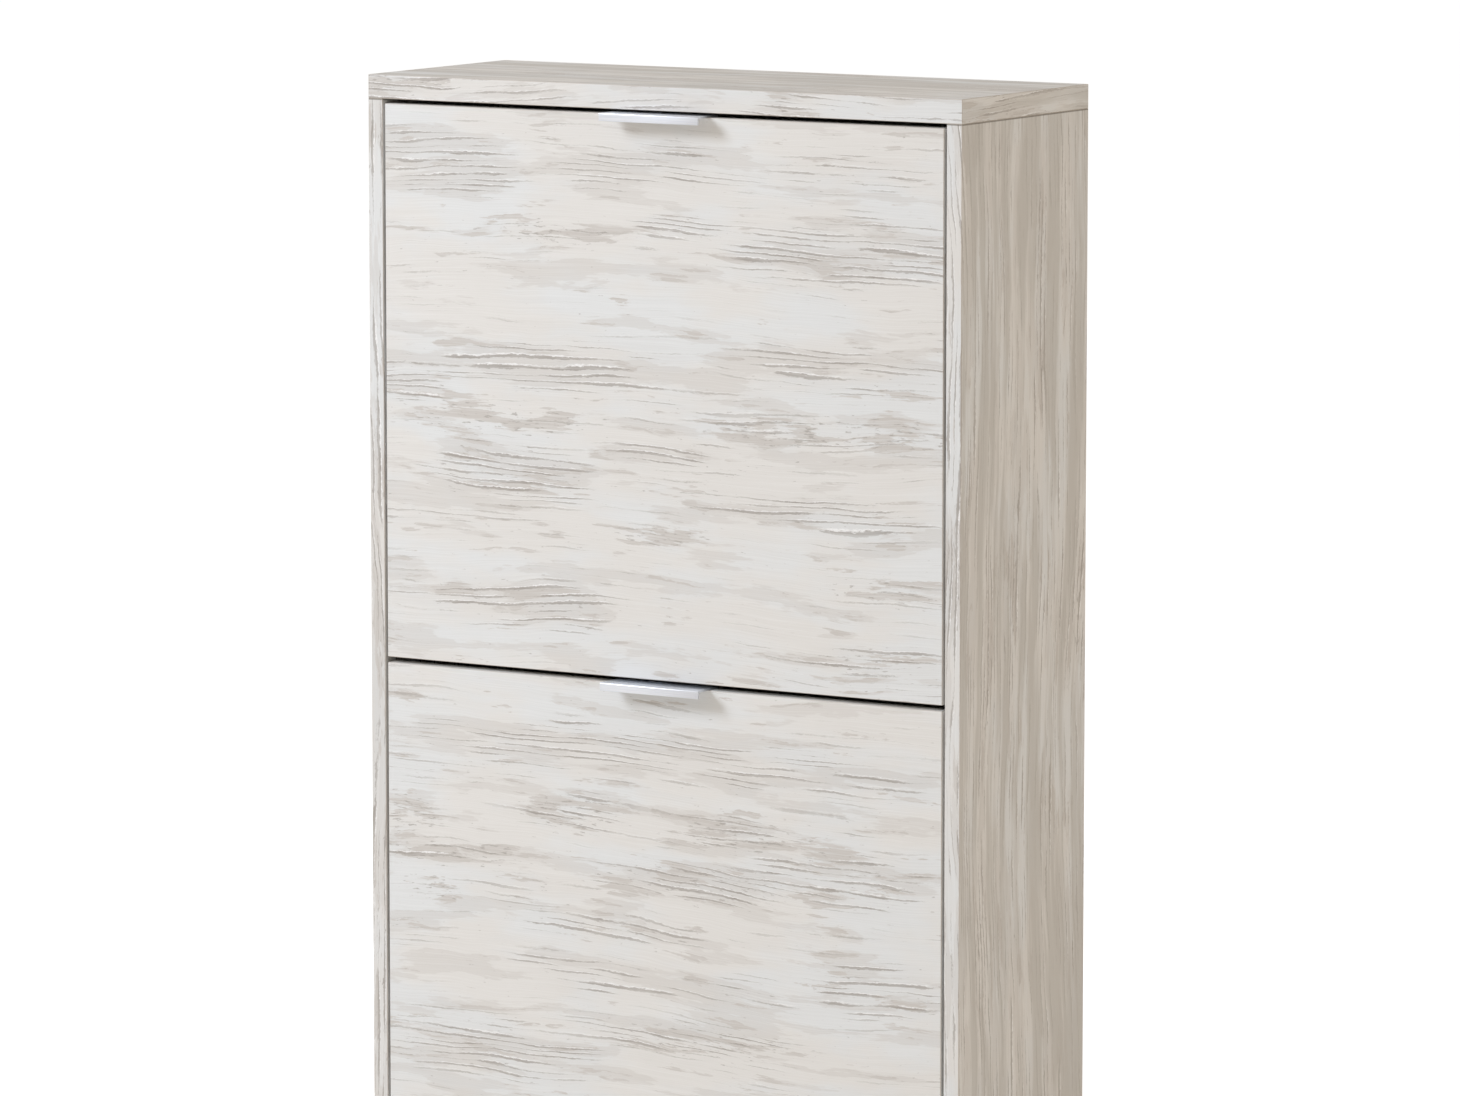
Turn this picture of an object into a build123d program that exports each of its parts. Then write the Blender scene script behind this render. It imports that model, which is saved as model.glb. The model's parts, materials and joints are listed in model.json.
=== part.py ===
from build123d import *
import math
import os

# Shoe cabinet with two tilting flaps, one above the other. Millimetres.
# The origin is on the floor under the middle of the footprint, handles included.
# +X is to the viewer's right, +Y is towards the wall and +Z is up.

# Cabinet
cabinet_width = 600.0
cabinet_depth = 220.0
cabinet_height = 1060.0
side_thickness = 15.0
top_thickness = 21.0
board_thickness = 15.0
back_thickness = 3.0
base_height = 45.0
glide_height = 3.0
rail_height = 60.0
board_arris = 0.5
back_inset = 10.0
groove_depth = 6.0
groove_clearance = 0.1
wall_hole_radius = 3.0
wall_hole_spacing = 400.0

# Flaps and the gaps round them
top_gap = 4.0
flap_gap = 5.0
flap_side_gap = 2.5
flap_open_angle = 40.0
pivot_height = 100.0
pivot_wall = 3.0

# Edge handle, a bent aluminium profile
handle_length = 100.0
handle_reach = 17.0
handle_sheet = 1.5
handle_lip_height = 7.0
handle_flange_height = 20.0
handle_bend_radius = 1.0
handle_screw_spacing = 70.0

# Side cheeks, moulded plastic
cheek_thickness = 3.0
cheek_side_clearance = 3.0
flange_thickness = 2.5
flange_width = 25.0
rim_thickness = 2.0
rim_height = 6.0
channel_wall = 2.0
channel_height = 8.0
boss_radius = 9.0
cheek_below_corner = 14.0
cheek_top_drop = 40.0
cheek_screw_inset = 9.0

# Shoe shelves, thin hardboard, in two tiers on each flap
shelf_thickness = 4.0
shelf_clearance = 0.15
shelf_end_clearance = 0.3
toe_shelf_setback = 1.2
shelf_lean = 25.0
toe_drop = 22.0
lower_toe_height = -24.0
lower_back_clearance = 24.0
upper_back_clearance = 42.0
tier_gap = 21.0
basket_top_margin = 48.0
tier_shared_height = 58.0

# Pivots, guide screws and fasteners
pin_radius = 4.0
running_clearance = 0.05
plate_thickness = 2.0
plate_width = 16.0
plate_height = 44.0
plate_screw_spacing = 30.0
guide_radius = 3.0
guide_slot_clearance = 0.3
guide_head_radius = 5.0
guide_head_height = 1.5
guide_lowest_angle = 20.0
guide_shelf_distance = 18.0
wood_depth = 11.0
wood_screw_radius = 1.75
handle_screw_radius = 1.5
pan_head_height = 2.0
cam_radius = 7.5
cam_depth = 12.5
cam_from_edge = 24.0
cam_bolt_radius = 2.5
cam_bore_radius = 4.0
cam_head_radius = 3.5
cam_thread_radius = 3.0
dowel_radius = 4.0
dowel_length = 30.0
dowel_in_face = 10.0
nail_radius = 0.9
nail_length = 15.0
nail_head_radius = 3.0
nail_head_height = 0.8
glide_radius = 7.0
glide_nail_radius = 1.0

# Places worked out from the sizes above
half_width = cabinet_width / 2
inner_half = half_width - side_thickness
front_y = (handle_reach - cabinet_depth) / 2
rear_y = front_y + cabinet_depth
back_panel_y = rear_y - back_inset - back_thickness
rail_y = back_panel_y - board_thickness
side_top_z = cabinet_height - top_thickness
flap_height = (side_top_z - top_gap - base_height - 2 * flap_gap) / 2
lower_flap_z = base_height + flap_gap
upper_flap_z = lower_flap_z + flap_height + flap_gap
pivot_depth = board_thickness + pin_radius + pivot_wall
pivot_y = front_y + pivot_depth
cheek_outer = inner_half - cheek_side_clearance
cheek_inner = cheek_outer - cheek_thickness
flap_back = board_thickness - pivot_depth
flap_top = flap_height - pivot_height
bottom_z = base_height - board_thickness
middle_rail_z = upper_flap_z - flap_gap / 2 - rail_height / 2
upper_rail_z = side_top_z - rail_height


def box_between(low, high):
    size = [high[i] - low[i] for i in range(3)]
    middle = [(high[i] + low[i]) / 2 for i in range(3)]
    return Pos(*middle) * Box(*size)


def make_board(low, high):
    board = box_between(low, high)
    return chamfer(board.edges(), board_arris)


def bar(radius, start, end):
    """A round bar or cutter along local Z."""
    return Pos(0, 0, (start + end) / 2) * Cylinder(radius, abs(end - start))


def frame_at(origin, pocket, axis):
    """A fitting's own frame: local Z runs along axis, local X towards the cam's open face."""
    return Plane(origin=origin, x_dir=pocket, z_dir=axis).location


def cut_from(board, cutters):
    for cutter in cutters:
        board = board - cutter
    return board


def grouped(solids):
    return Compound(children=[solid.solid() for solid in solids])


# Cam fittings and dowels. Local z = 0 is where the edge of one board meets the face of another.
def cam_lock(thickness):
    lock = Rot(0, 90, 0) * Cylinder(cam_radius - running_clearance, cam_depth - 0.2)
    lock = Pos(thickness / 2 - cam_depth / 2, 0, -cam_from_edge) * lock
    channel = bar(cam_bore_radius, -cam_from_edge - cam_head_radius, 0)
    slots = Box(3, 8, 1.4) + Box(3, 1.4, 8)
    return lock - channel - Pos(thickness / 2, 0, -cam_from_edge) * slots


def cam_bolt():
    head = bar(cam_head_radius, -cam_from_edge, -cam_from_edge + 2.5)
    shank = bar(cam_bolt_radius, -cam_from_edge + 2.5, 0)
    return head + shank + bar(cam_thread_radius, 0, wood_depth)


def cam_edge_cut(thickness):
    pocket = Rot(0, 90, 0) * Cylinder(cam_radius, cam_depth)
    pocket = Pos(thickness / 2 - cam_depth / 2, 0, -cam_from_edge) * pocket
    return pocket + bar(cam_bore_radius, -cam_from_edge, 0)


def cam_face_cut():
    return bar(cam_thread_radius, 0, wood_depth + 0.5)


def dowel():
    peg = bar(dowel_radius, dowel_in_face - dowel_length, dowel_in_face)
    return chamfer(peg.edges(), 1)


def dowel_edge_cut():
    return bar(dowel_radius, dowel_in_face - dowel_length - 1, 0)


def dowel_face_cut():
    return bar(dowel_radius, 0, dowel_in_face + 1)


def fitting_frames():
    """Every cam and dowel: its kind, the board whose edge it is in, the board it enters, its frame."""
    found = []
    for side in (-1, 1):
        side_name = "side_panel_left" if side < 0 else "side_panel_right"
        middle_x = side * (half_width - side_thickness / 2)
        face_x = side * inner_half
        outward = (side, 0, 0)
        inward = (-side, 0, 0)
        for from_front in (45, cabinet_depth - 45):
            place = (middle_x, front_y + from_front, side_top_z)
            found.append(("cam", side_name, "top_panel", frame_at(place, inward, (0, 0, 1))))
            place = (face_x, front_y + from_front, bottom_z + board_thickness / 2)
            found.append(("cam", "bottom_panel", side_name, frame_at(place, (0, 0, -1), outward)))
        for from_front in (80, cabinet_depth - 80):
            place = (middle_x, front_y + from_front, side_top_z)
            found.append(("dowel", side_name, "top_panel", frame_at(place, inward, (0, 0, 1))))
            place = (face_x, front_y + from_front, bottom_z + board_thickness / 2)
            found.append(("dowel", "bottom_panel", side_name, frame_at(place, (0, 0, -1), outward)))
        for rail_name, rail_z in (("upper_rear_rail", upper_rail_z), ("middle_rear_rail", middle_rail_z)):
            rail_middle_y = rail_y + board_thickness / 2
            place = (face_x, rail_middle_y, rail_z + rail_height * 0.7)
            found.append(("cam", rail_name, side_name, frame_at(place, (0, 1, 0), outward)))
            place = (face_x, rail_middle_y, rail_z + rail_height * 0.3)
            found.append(("dowel", rail_name, side_name, frame_at(place, (0, 1, 0), outward)))
        place = (face_x, front_y + board_thickness / 2, base_height / 2)
        found.append(("dowel", "plinth", side_name, frame_at(place, (0, 1, 0), outward)))
        place = (side * inner_half / 2, front_y + board_thickness, bottom_z + board_thickness / 2)
        found.append(("dowel", "bottom_panel", "plinth", frame_at(place, (0, 0, 1), (0, -1, 0))))
    return found


fittings = fitting_frames()


def edge_board_thickness(board_name):
    return side_thickness if board_name.startswith("side_panel") else board_thickness


def fitting_cutters(board_name):
    thickness = edge_board_thickness(board_name)
    cutters = []
    for kind, edge_board, face_board, frame in fittings:
        if edge_board == board_name:
            cutters.append(frame * (cam_edge_cut(thickness) if kind == "cam" else dowel_edge_cut()))
        if face_board == board_name:
            cutters.append(frame * (cam_face_cut() if kind == "cam" else dowel_face_cut()))
    return cutters


# Screws, with local Z from the point to the head and local z = 0 under the head
def pan_head_screw(radius, length):
    head = bar(2 * radius, 0, pan_head_height)
    head = fillet(head.edges().sort_by(Axis.Z)[-1], 0.8)
    recess = Box(2 * radius, 0.8, 2) + Box(0.8, 2 * radius, 2)
    return bar(radius, -length, 0) + head - Pos(0, 0, pan_head_height) * recess


def flat_head_screw(radius, length):
    """A countersunk screw whose head ends at local z = 0."""
    cone = Pos(0, 0, -radius / 2) * Cone(radius, 2 * radius, radius)
    recess = Box(2 * radius, 0.8, 1.6) + Box(0.8, 2 * radius, 1.6)
    return bar(radius, -length, -radius) + cone - recess


def flat_head_cut(radius, length):
    return bar(radius, -length, 0) + Pos(0, 0, -radius / 2) * Cone(radius, 2 * radius, radius)


# Pivot plates and guide screws, two of each for each flap
def plate_screw_frames(pivot_z, side):
    frames = []
    for offset in (-plate_screw_spacing / 2, plate_screw_spacing / 2):
        place = (side * (inner_half - plate_thickness), pivot_y, pivot_z + offset)
        frames.append(frame_at(place, (0, 1, 0), (-side, 0, 0)))
    return frames


def pivot_plate(pivot_z, side):
    place = (side * inner_half, pivot_y, pivot_z)
    outline = RectangleRounded(plate_width, plate_height, plate_width / 2 - 1)
    plate = extrude(outline, plate_thickness)
    pin_end = cheek_side_clearance + cheek_thickness + channel_height
    pin = bar(pin_radius, plate_thickness, pin_end)
    plate = plate + chamfer(pin.edges().sort_by(Axis.Z)[-1], 0.8)
    plate = frame_at(place, (0, 1, 0), (-side, 0, 0)) * plate
    holes = [f * flat_head_cut(wood_screw_radius, wood_depth) for f in plate_screw_frames(pivot_z, side)]
    return cut_from(plate, holes)


def shelf_lines():
    """The four shelves of a flap, as (start, end) in (y, z) measured from the pivot."""
    lean = math.radians(shelf_lean)
    back = back_panel_y - pivot_y
    top = flap_top - basket_top_margin
    pitch = (flap_height - tier_shared_height) / 2
    front = flap_back + flange_thickness + toe_shelf_setback
    joint = shelf_thickness / 2 + 2 * shelf_clearance + shelf_thickness * 0.2
    shelves = {}
    for tier, toe_height, clearance in (
        ("lower", lower_toe_height, lower_back_clearance),
        ("upper", lower_toe_height + pitch, upper_back_clearance),
    ):
        corner_z = toe_height - toe_drop
        end_z = corner_z + pitch - tier_gap if tier == "lower" else top
        end_y = back - clearance
        corner_y = end_y - (end_z - corner_z) * math.tan(lean)
        sole_start = (corner_y + joint * math.sin(lean), corner_z + joint * math.cos(lean))
        shelves[tier + "_toe_shelf"] = ((front, toe_height), (corner_y, corner_z))
        shelves[tier + "_sole_shelf"] = (sole_start, (end_y, end_z))
    return shelves


shelf_places = shelf_lines()


def guide_circle_radius():
    """The guide's circle is as large as the lower sole shelf leaves room for."""
    lean = math.radians(shelf_lean)
    nearest = math.radians(guide_lowest_angle)
    corner_y, corner_z = shelf_places["lower_toe_shelf"][1]
    reach = corner_y * math.cos(lean) - corner_z * math.sin(lean) - guide_shelf_distance
    return reach / math.cos(nearest + lean)


guide_circle = guide_circle_radius()


def guide_frame(pivot_z, side):
    angle = math.radians(guide_lowest_angle + flap_open_angle)
    y = pivot_y + guide_circle * math.cos(angle)
    z = pivot_z + guide_circle * math.sin(angle)
    return frame_at((side * inner_half, y, z), (0, 1, 0), (-side, 0, 0))


def guide_screw(pivot_z, side):
    neck = cheek_side_clearance + cheek_thickness + 0.6
    head = bar(guide_head_radius, neck, neck + guide_head_height)
    head = chamfer(head.edges().sort_by(Axis.Z)[-1], 0.5)
    recess = Pos(0, 0, neck + guide_head_height) * (Box(5, 1, 2) + Box(1, 5, 2))
    return guide_frame(pivot_z, side) * (bar(guide_radius, -wood_depth, neck) + head - recess)


def hardware_cutters(side):
    cutters = []
    for flap_z in (lower_flap_z, upper_flap_z):
        pivot_z = flap_z + pivot_height
        cutters.append(guide_frame(pivot_z, side) * bar(guide_radius, -wood_depth, 1))
        for frame in plate_screw_frames(pivot_z, side):
            cutters.append(frame * bar(wood_screw_radius, -wood_depth, 1))
    return cutters


# Nails through the back panel into the two rails and the bottom, and the wall holes
def nail_frames():
    frames = []
    for height in (
        upper_rail_z + rail_height / 2,
        middle_rail_z + rail_height / 2,
        bottom_z + board_thickness / 2,
    ):
        for across in (-inner_half * 0.5, 0, inner_half * 0.5):
            place = (across, back_panel_y + back_thickness, height)
            frames.append(frame_at(place, (1, 0, 0), (0, 1, 0)))
    return frames


def nail():
    return bar(nail_radius, -nail_length, 0) + bar(nail_head_radius, 0, nail_head_height)


def nail_cutters():
    return [frame * bar(nail_radius, -nail_length, 1) for frame in nail_frames()]


def wall_hole_cutters():
    height = upper_rail_z + rail_height / 2
    cutters = []
    for across in (-wall_hole_spacing / 2, wall_hole_spacing / 2):
        place = (across, rail_y, height)
        through = board_thickness + back_thickness + 1
        cutters.append(frame_at(place, (1, 0, 0), (0, 1, 0)) * bar(wall_hole_radius, -1, through))
    return cutters


def back_groove(low_x, high_x, low_z, high_z):
    low = (low_x, back_panel_y - groove_clearance, low_z)
    high = (high_x, back_panel_y + back_thickness + groove_clearance, high_z)
    return box_between(low, high)


# Carcass boards
def top_panel():
    board = make_board((-half_width, front_y, side_top_z), (half_width, rear_y, cabinet_height))
    reach = inner_half + groove_depth + groove_clearance
    groove = back_groove(-reach, reach, side_top_z - 1, side_top_z + groove_depth)
    return cut_from(board - groove, fitting_cutters("top_panel"))


def glide_places(side):
    x = side * (half_width - side_thickness / 2)
    return [(x, front_y + 30, glide_height), (x, rear_y - 30, glide_height)]


def side_panel(side):
    name = "side_panel_left" if side < 0 else "side_panel_right"
    x_range = sorted((side * inner_half, side * half_width))
    board = make_board((x_range[0], front_y, glide_height), (x_range[1], rear_y, side_top_z))
    groove_x = sorted((side * (inner_half - 1), side * (inner_half + groove_depth + groove_clearance)))
    board = board - back_groove(groove_x[0], groove_x[1], glide_height - 1, side_top_z + 1)
    board = cut_from(board, fitting_cutters(name) + hardware_cutters(side))
    for place in glide_places(side):
        board = board - Pos(*place) * bar(glide_nail_radius, 0, wood_depth)
    return board


def bottom_panel():
    low = (-inner_half, front_y + board_thickness, bottom_z)
    board = make_board(low, (inner_half, back_panel_y, base_height))
    return cut_from(board, fitting_cutters("bottom_panel") + nail_cutters())


def plinth():
    low = (-inner_half, front_y, glide_height)
    board = make_board(low, (inner_half, front_y + board_thickness, base_height))
    return cut_from(board, fitting_cutters("plinth"))


def rear_rail(name, rail_z):
    low = (-inner_half, rail_y, rail_z)
    board = make_board(low, (inner_half, back_panel_y, rail_z + rail_height))
    cutters = fitting_cutters(name) + nail_cutters()
    if name == "upper_rear_rail":
        cutters += wall_hole_cutters()
    return cut_from(board, cutters)


def back_panel():
    half = inner_half + groove_depth
    top = side_top_z + groove_depth - groove_clearance
    panel = box_between((-half, back_panel_y, bottom_z), (half, back_panel_y + back_thickness, top))
    return cut_from(panel, nail_cutters() + wall_hole_cutters())


def floor_glide(place):
    disc = Cylinder(glide_radius, glide_height)
    disc = fillet(disc.edges().sort_by(Axis.Z)[0], 0.8)
    return Pos(*place) * (Pos(0, 0, -glide_height / 2) * disc + bar(glide_nail_radius, 0, wood_depth))


def carcass_parts():
    sides = (-1, 1)
    pivots = [flap_z + pivot_height for flap_z in (lower_flap_z, upper_flap_z)]
    cams = [f for f in fittings if f[0] == "cam"]
    dowels = [f for f in fittings if f[0] == "dowel"]
    plate_screws = [f for z in pivots for side in sides for f in plate_screw_frames(z, side)]
    return {
        "top_panel": top_panel(),
        "side_panel_left": side_panel(-1),
        "side_panel_right": side_panel(1),
        "bottom_panel": bottom_panel(),
        "plinth": plinth(),
        "upper_rear_rail": rear_rail("upper_rear_rail", upper_rail_z),
        "middle_rear_rail": rear_rail("middle_rear_rail", middle_rail_z),
        "back_panel": back_panel(),
        "cam_locks": grouped(f[3] * cam_lock(edge_board_thickness(f[1])) for f in cams),
        "cam_bolts": grouped(f[3] * cam_bolt() for f in cams),
        "wooden_dowels": grouped(f[3] * dowel() for f in dowels),
        "back_panel_nails": grouped(f * nail() for f in nail_frames()),
        "floor_glides": grouped(floor_glide(p) for side in sides for p in glide_places(side)),
        "pivot_plates": grouped(pivot_plate(z, side) for z in pivots for side in sides),
        "pivot_plate_screws": grouped(
            f * flat_head_screw(wood_screw_radius, wood_depth) for f in plate_screws
        ),
        "guide_screws": grouped(guide_screw(z, side) for z in pivots for side in sides),
    }


# Flap pieces, in a frame whose origin is on the pivot axis: y backwards, z upwards
def slab(line, thickness, low_x, high_x, ends=0.0):
    """A flat strip along a shelf's line, between two x planes, longer by ends at each end."""
    (y0, z0), (y1, z1) = line
    length = math.hypot(y1 - y0, z1 - z0) + 2 * ends
    angle = math.degrees(math.atan2(z1 - z0, y1 - y0))
    middle = ((low_x + high_x) / 2, (y0 + y1) / 2, (z0 + z1) / 2)
    return Pos(*middle) * Rot(angle, 0, 0) * Box(high_x - low_x, length, thickness)


def cheek_outline():
    corner_y, corner_z = shelf_places["lower_toe_shelf"][1]
    lower_end = shelf_places["lower_sole_shelf"][1]
    upper_end = shelf_places["upper_sole_shelf"][1]
    front_top = upper_end[1] - cheek_top_drop
    bottom = corner_z - cheek_below_corner
    points = [
        (flap_back, bottom),
        (corner_y + 5, bottom),
        (lower_end[0] + 9, lower_end[1] - 4),
        (upper_end[0] + 10, upper_end[1] + 2),
        (upper_end[0] - 6, upper_end[1] + 9),
        (flap_back + cheek_top_drop, front_top),
        (flap_back, front_top),
    ]
    radii = [0, 14, 20, 7, 7, 24, 0]
    return points, radii


def outline_face(points, radii):
    return make_face(FilletPolyline(*points, radius=radii, close=True))


def cheek_screw_heights():
    bottom = shelf_places["lower_toe_shelf"][1][1] - cheek_below_corner
    upper_toe = shelf_places["upper_toe_shelf"][0][1]
    front_top = shelf_places["upper_sole_shelf"][1][1] - cheek_top_drop
    return [bottom + 14, (bottom + 14 + upper_toe) / 2, upper_toe - 25, front_top - 15]


def left_cheek():
    """Local x runs inwards from the cheek's outer face."""
    outline = outline_face(*cheek_outline())
    inside = offset(outline, -rim_thickness)
    cheek = extrude(Plane.YZ * outline, cheek_thickness)
    rim = Plane.YZ.offset(cheek_thickness) * (outline - inside)
    cheek = cheek + extrude(rim, rim_height)
    for line in shelf_places.values():
        channel = shelf_thickness + 2 * (shelf_clearance + channel_wall)
        cheek = cheek + slab(line, channel, 0.5, cheek_thickness + channel_height, channel_wall)
    low_z = cheek_outline()[0][0][1]
    high_z = cheek_outline()[0][-1][1]
    flange_back = flap_back + flange_thickness
    cheek = cheek + box_between((0, flap_back, low_z), (flange_width, flange_back, high_z))
    boss_length = cheek_thickness + channel_height
    boss = Rot(0, 90, 0) * bar(boss_radius, 0, boss_length)
    cheek = cheek + boss
    cheek = cheek - box_between((-1, flap_back - 20, low_z - 20), (60, flap_back, high_z + 20))
    pocket = shelf_thickness + 2 * shelf_clearance
    for line in shelf_places.values():
        cheek = cheek - slab(line, pocket, cheek_thickness, boss_length + 1, shelf_clearance)
    cheek = cheek - Rot(0, 90, 0) * bar(pin_radius + running_clearance, -1, boss_length + 1)
    track = CenterArc((0, 0), guide_circle, guide_lowest_angle, flap_open_angle)
    slot = SlotArc(track, 2 * (guide_radius + guide_slot_clearance))
    cheek = cheek - extrude(Plane.YZ.offset(-1) * slot, cheek_thickness + 2)
    for height in cheek_screw_heights():
        place = (flange_width - cheek_screw_inset, flange_back, height)
        cheek = cheek - frame_at(place, (1, 0, 0), (0, 1, 0)) * bar(wood_screw_radius, -10, 1)
    return cheek


def cheek_screw_frames(side):
    x = side * (cheek_outer - flange_width + cheek_screw_inset)
    y = flap_back + flange_thickness
    return [frame_at((x, y, z), (1, 0, 0), (0, 1, 0)) for z in cheek_screw_heights()]


def handle_screw_frames():
    y = flap_back + handle_sheet
    z = flap_top + handle_sheet - handle_flange_height / 2 - 1
    half = handle_screw_spacing / 2
    return [frame_at((x, y, z), (1, 0, 0), (0, 1, 0)) for x in (-half, half)]


def edge_handle():
    front = -pivot_depth - handle_reach
    top = flap_top + handle_sheet
    rear = flap_back + handle_sheet
    points = [
        (front, top),
        (rear, top),
        (rear, top - handle_flange_height),
        (flap_back, top - handle_flange_height),
        (flap_back, flap_top),
        (front + handle_sheet, flap_top),
        (front + handle_sheet, top - handle_lip_height),
        (front, top - handle_lip_height),
    ]
    outer = handle_bend_radius
    profile = outline_face(points, [outer, outer, 0.3, 0.3, 0, 0.5, 0.3, 0.3])
    handle = extrude(Plane.YZ * profile, handle_length / 2, both=True)
    holes = [f * bar(handle_screw_radius, -5, 1) for f in handle_screw_frames()]
    return cut_from(handle, holes)


def flap_panel():
    half = inner_half - flap_side_gap
    board = make_board((-half, -pivot_depth, -pivot_height), (half, flap_back, flap_top))
    cutters = [f * bar(handle_screw_radius, -wood_depth, 1) for f in handle_screw_frames()]
    for side in (-1, 1):
        cutters += [f * bar(wood_screw_radius, -wood_depth, 1) for f in cheek_screw_frames(side)]
    return cut_from(board, cutters)


def flap_parts():
    cheek = Pos(-cheek_outer, 0, 0) * left_cheek()
    cheek_frames = cheek_screw_frames(-1) + cheek_screw_frames(1)
    cheek_screws = [f * pan_head_screw(wood_screw_radius, wood_depth) for f in cheek_frames]
    handle_screws = [f * pan_head_screw(handle_screw_radius, wood_depth) for f in handle_screw_frames()]
    parts = {
        "flap_panel": flap_panel(),
        "handle": edge_handle(),
        "handle_screws": grouped(handle_screws),
        "cheek_left": cheek,
        "cheek_right": mirror(cheek, about=Plane.YZ),
        "cheek_screws": grouped(cheek_screws),
    }
    reach = cheek_inner - shelf_end_clearance
    for name, line in shelf_places.items():
        parts[name] = slab(line, shelf_thickness, -reach, reach)
    return parts


def all_parts():
    parts = carcass_parts()
    for flap_name, flap_z in (("upper_flap", upper_flap_z), ("lower_flap", lower_flap_z)):
        place = Pos(0, pivot_y, flap_z + pivot_height)
        for name, shape in flap_parts().items():
            parts[flap_name + "_" + name] = place * shape
    return parts


os.makedirs("parts", exist_ok=True)
for node_name, node_shape in all_parts().items():
    export_step(node_shape, "parts/" + node_name + ".step")
print("pivot", pivot_y, lower_flap_z + pivot_height, upper_flap_z + pivot_height)
print("flap height", flap_height, "guide circle", guide_circle)
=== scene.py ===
import json
import math
from functools import partial

import bmesh
import bpy
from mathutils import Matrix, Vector

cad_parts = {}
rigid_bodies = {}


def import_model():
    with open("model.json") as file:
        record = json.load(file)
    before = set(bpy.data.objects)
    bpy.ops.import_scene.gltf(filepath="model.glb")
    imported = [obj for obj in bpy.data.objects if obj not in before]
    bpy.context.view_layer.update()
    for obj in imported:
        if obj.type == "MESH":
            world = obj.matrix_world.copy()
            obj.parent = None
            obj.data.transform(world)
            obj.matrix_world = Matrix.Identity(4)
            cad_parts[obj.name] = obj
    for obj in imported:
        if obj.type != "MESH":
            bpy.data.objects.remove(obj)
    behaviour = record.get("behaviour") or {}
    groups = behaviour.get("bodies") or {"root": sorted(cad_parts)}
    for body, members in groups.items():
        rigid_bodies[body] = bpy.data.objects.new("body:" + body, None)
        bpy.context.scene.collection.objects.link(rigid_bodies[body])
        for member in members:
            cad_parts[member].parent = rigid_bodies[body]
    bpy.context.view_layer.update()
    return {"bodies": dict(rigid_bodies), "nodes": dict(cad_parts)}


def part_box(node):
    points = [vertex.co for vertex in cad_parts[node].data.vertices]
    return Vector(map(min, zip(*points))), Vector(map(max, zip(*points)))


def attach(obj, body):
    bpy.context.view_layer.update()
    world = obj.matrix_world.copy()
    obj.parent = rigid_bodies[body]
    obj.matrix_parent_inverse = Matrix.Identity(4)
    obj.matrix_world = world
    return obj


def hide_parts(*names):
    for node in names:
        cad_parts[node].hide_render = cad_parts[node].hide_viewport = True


# a shoe cabinet with two tilting flaps, in whitewashed pine with aluminium edge handles
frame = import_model()
nodes = frame["nodes"]
mm = 0.001     # everything stands in metres, and sizes are given in mm
print("frame loaded,", len(nodes), "nodes")


def linearColour(hexValue):
    # sRGB hex to the linear colour that a socket takes
    channels = [int(hexValue[i:i + 2], 16) / 255 for i in (1, 3, 5)]
    curve = [c / 12.92 if c <= 0.04045 else ((c + 0.055) / 1.055) ** 2.4 for c in channels]
    return (*curve, 1.0)


def addNode(tree, kind, inputs=None, out=0, **settings):
    # adds one node, sets or links its inputs and gives back one output, or the node if it has none
    node = tree.nodes.new(kind if "Node" in kind else "ShaderNode" + kind)
    for key, value in settings.items():
        setattr(node, key, value)
    for key, value in (inputs or {}).items():
        if isinstance(value, bpy.types.NodeSocket):
            tree.links.new(value, node.inputs[key])
        else:
            node.inputs[key].default_value = value
    return node.outputs[out] if node.outputs else node


def newMaterial(name, **shaderValues):
    material = bpy.data.materials.new(name)
    material.use_nodes = True
    tree = material.node_tree
    tree.nodes.clear()
    shader = tree.nodes.new("ShaderNodeBsdfPrincipled")
    output = tree.nodes.new("ShaderNodeOutputMaterial")
    tree.links.new(shader.outputs[0], output.inputs["Surface"])
    for key, value in shaderValues.items():
        shader.inputs[key.replace("_", " ")].default_value = value
    return material, tree, shader


def paint(nodeName, material):
    slots = nodes[nodeName].data.materials
    slots.clear()
    slots.append(material)


def shortNameOf(nodeName):
    # the two flaps have the same parts
    return nodeName.replace("upper_flap_", "").replace("lower_flap_", "")


# Whitewashed pine is a printed and embossed paper on chipboard. White paint is brushed off along
# the growth rings, so the eye gets an off-white ground, broken taupe ring lines and bare patches.
# The white rim beside each ring line is a painted highlight, for the light on the embossed ridge.
whitewash = {
    "white": "#E5E7E7",
    "cream": "#E6E4E0",
    "bare": "#CBC6C0",       # where the paint is worn through
    "ringLine": "#9C958E",
    # painted highlight beside the ring lines, for the light on the embossed ridge; the brush
    # streaks take the same pale colour
    "rim": "#FAFAF9",
    "sideBand": "#C8C5BF",   # broad bands on the tall carcass faces
    "arris": "#C4BCB1",      # the glue line of the edging tape
    "joint": "#5E564D",      # painted shadow where a side meets the top
    "jointHeight": 1.6,      # mm
    "swellHeight": 46.0,     # mm, how far the rings wander
    "rippleHeight": 6.0,
    "calmWear": 0.35,        # of the free wear, outside the worn areas
    "raggedOutline": 1.3,    # how far the haze frays a worn area
    "ringTint": 0.16,        # how much the ground darkens under ring lines
    "embossing": 0.12,       # mm
    "bumpStrength": 0.6,
    "brushRelief": 0.8,      # of the embossing
    "roughness": 0.4,        # the lacquered print; dry streaks and raw chips add to it
    "streakRoughness": 0.16,
    "chipRoughness": 0.3,
    "faceDepth": 0.6,        # mm, deeper than this a bore shows the chips
}
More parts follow.
